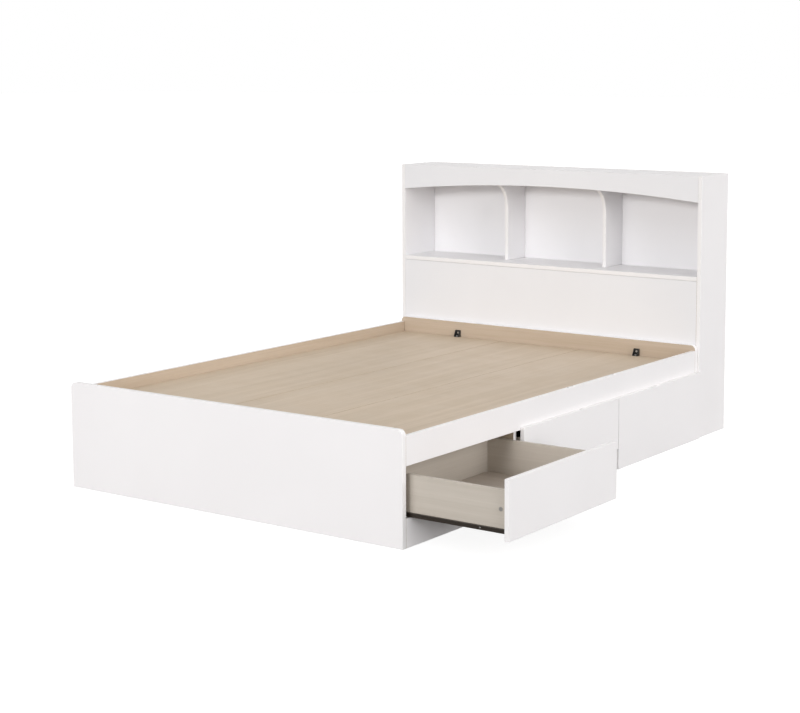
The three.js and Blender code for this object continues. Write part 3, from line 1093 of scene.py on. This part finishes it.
def corner_block(place):
    node = "head_bracket_" + place
    low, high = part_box(node)
    wall = BLOCK_WALL
    cheek = [
        (high.y, low.z), (high.y, high.z), (high.y - BLOCK_NOSE, high.z),
        (low.y, low.z + BLOCK_NOSE), (low.y, low.z),
    ]
    parts = []
    for start in (low.x, high.x - wall):
        bm = cut_out(cheek, 0, start, start + wall)
        dress(bm, {}, BLACK, edge=0.5 * MM, rim=0.5 * MM)
        parts.append((bm, Matrix.Identity(4)))
    foot = block((low.x + wall, low.y, low.z), (high.x - wall, high.y, low.z + wall))
    back = block((low.x + wall, high.y - wall, low.z + wall), (high.x - wall, high.y, high.z))
    for bm in (foot, back):
        dress(bm, {}, BLACK, edge=0.4 * MM, rim=0.5 * MM)
        parts.append((bm, Matrix.Identity(4)))
    piece(node + "_block", set_in_place(parts), [BLACK], "bed", [node])
    middle_x = (low.x + high.x) / 2
    upper_spot = (middle_x, high.y - wall, low.z + UPPER_SCREW_RISE)
    lower_spot = (middle_x, low.y + LOWER_SCREW_SETBACK, low.z + wall)
    heads = [
        (screw_head(*BLOCK_SCREW), turned_to((0, -1, 0), upper_spot)),
        (screw_head(*BLOCK_SCREW), turned_to((0, 0, 1), lower_spot)),
    ]
    hardware(node + "_screws", heads, ZINC, "bed")


for place in ("near", "far"):
    corner_block(place)

# %% [markdown]
# ## Headboard
# The headboard is a bookcase: two sides, a top and a shelf between them, a lower panel, and a board
# across the top whose lower edge is a very flat arch. Its thin back sheet is white in front and bare
# hardboard behind. Where boards meet, the softened edges leave the fine lines that real joints show.

# %% Headboard carcass
# The faces inside the bookcase take the lighter white, which is painted light, and the lower panel's front
# takes the greyer white, which is painted shade.
board("headboard_side_near", {"+X": WHITE, "-X": WHITE_PAINTED_LIGHT, "-Z": CHIP}, WHITE_STRIP)
board("headboard_side_far", {"+X": WHITE_PAINTED_LIGHT, "-X": WHITE, "-Z": CHIP}, WHITE_STRIP)
board("headboard_top", {"+Z": WHITE, "-Z": WHITE}, CHIP)
board("headboard_shelf", {"+Z": WHITE_PAINTED_LIGHT, "-Z": WHITE, "-Y": WHITE_STRIP}, CHIP)
board("headboard_lower_panel", {"-Y": WHITE_PAINTED_SHADE, "+Y": WHITE, "+Z": WHITE_STRIP}, CHIP)
board("headboard_back", {"-Y": WHITE_PAINTED_LIGHT, "+Y": HARDBOARD}, HARDBOARD, edge=0.4 * MM, rim=1.2 * MM)
board("headboard_stretcher", {"-Y": BIRCH["X"], "+Y": BIRCH["X"]}, CHIP, slot="birch_laminate")

# %% [markdown]
# The arch is part of a very large circle. Its radius follows from two facts: how wide it is, and how
# far its middle stands above its ends. One vertex at the arch's end is spun round the circle's centre,
# which leaves a chain of edges. The chain is extruded up to the board's top edge, and the sheet of
# faces this makes is given the board's thickness.

# %% Arched valance
ARCH_END = 930 * MM
ARCH_MIDDLE = 965 * MM
ARCH_STEPS = 40


def valance():
    low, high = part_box("headboard_valance")
    half = high.x
    rise = ARCH_MIDDLE - ARCH_END
    radius = (half**2 + rise**2) / (2 * rise)
    spread = 2 * math.asin(half / radius)
    bm = bmesh.new()
    start = bm.verts.new((-half, low.y, ARCH_END))
    centre = (0, low.y, ARCH_MIDDLE - radius)
    bmesh.ops.spin(bm, geom=[start], cent=centre, axis=(0, 1, 0), angle=spread, steps=ARCH_STEPS)
    for vert in new_verts(bmesh.ops.extrude_edge_only(bm, edges=bm.edges[:])):
        vert.co.z = high.z
    thicken(bm, 1, high.y - low.y)
    # The arch's front takes the greyer white, which is painted shade, and its inner face takes the lighter
    # white, which is painted light.
    used = dress(bm, {"-Y": WHITE_PAINTED_SHADE, "+Y": WHITE_PAINTED_LIGHT}, WHITE_STRIP)
    return piece("headboard_valance_board", bm, used, "bed", ["headboard_valance"])


valance()
print("arch", ARCH_STEPS, "steps")

# %% [markdown]
# The dividers stand back from the front and sweep forward under the valance in a quarter of an
# ellipse. The same trick serves: a vertex is spun through a quarter of a round circle, the chain is
# squeezed in one direction, and then extruded back, down and up to the divider's straight edges.

# %% Headboard dividers
DIVIDER_SETBACK = 88 * MM
COVE_HEIGHT = 100 * MM
COVE_TOP = ARCH_MIDDLE - 6 * MM
COVE_STEPS = 16


def divider(node):
    low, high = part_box(node)
    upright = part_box("headboard_shelf")[0].y + DIVIDER_SETBACK
    squeeze = (upright - low.y) / COVE_HEIGHT
    bm = bmesh.new()
    start = bm.verts.new((low.x, COVE_HEIGHT, 0))
    bmesh.ops.spin(bm, geom=[start], cent=(0, 0, 0), axis=(1, 0, 0), angle=math.pi / 2, steps=COVE_STEPS)
    bmesh.ops.scale(bm, vec=(1, squeeze, 1), verts=bm.verts)
    bmesh.ops.translate(bm, vec=(0, low.y, COVE_TOP - COVE_HEIGHT), verts=bm.verts)
    lowest = min(v.co.z for v in bm.verts)
    for vert in new_verts(bmesh.ops.extrude_edge_only(bm, edges=bm.edges[:])):
        vert.co.y = high.y
    for level, end in ((lowest, low.z), (COVE_TOP, high.z)):
        edges = [e for e in bm.edges if all(abs(v.co.z - level) < SAME for v in e.verts)]
        grown = bmesh.ops.extrude_edge_only(bm, edges=edges)
        bmesh.ops.translate(bm, vec=(0, 0, end - level), verts=new_verts(grown))
    thicken(bm, 0, high.x - low.x)
    # Both faces of a divider take the lighter white, which is painted light.
    used = dress(bm, {"+X": WHITE_PAINTED_LIGHT, "-X": WHITE_PAINTED_LIGHT}, WHITE_STRIP)
    return piece(node + "_board", bm, used, "bed", [node])


for place in ("near", "far"):
    divider("headboard_divider_" + place)
print("dividers stand back", DIVIDER_SETBACK)

# %% [markdown]
# The back sheet is nailed on. A row of small flat nail heads runs round it, a hand's width apart.

# %% Nails in the back sheet
NAIL_SPACING = 150 * MM
NAIL_INSET = 9 * MM
NAIL_HEAD = {"segments": 10, "radius1": 2.2 * MM, "radius2": 1.9 * MM, "depth": 0.5 * MM}


def even_places(low, high):
    """Places from one nail inset to the other, about one spacing apart."""
    start, end = low + NAIL_INSET, high - NAIL_INSET
    count = round((end - start) / NAIL_SPACING)
    return [between(start, end, i / count) for i in range(count + 1)]


def nail_spots(low, high):
    columns = even_places(low.x, high.x)
    rows = even_places(low.z, high.z)
    for x in columns:
        yield x, rows[-1]
        yield x, rows[0]
    for z in rows[1:-1]:
        yield columns[0], z
        yield columns[-1], z


back_low, back_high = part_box("headboard_back")
nails = []
for x, z in nail_spots(back_low, back_high):
    nail = bmesh.new()
    bmesh.ops.create_cone(nail, cap_ends=True, **NAIL_HEAD)
    nails.append((nail, turned_to((0, 1, 0), (x, back_high.y, z))))
hardware("headboard_back_nails", nails, ZINC, "bed")
print("nails", len(nails))
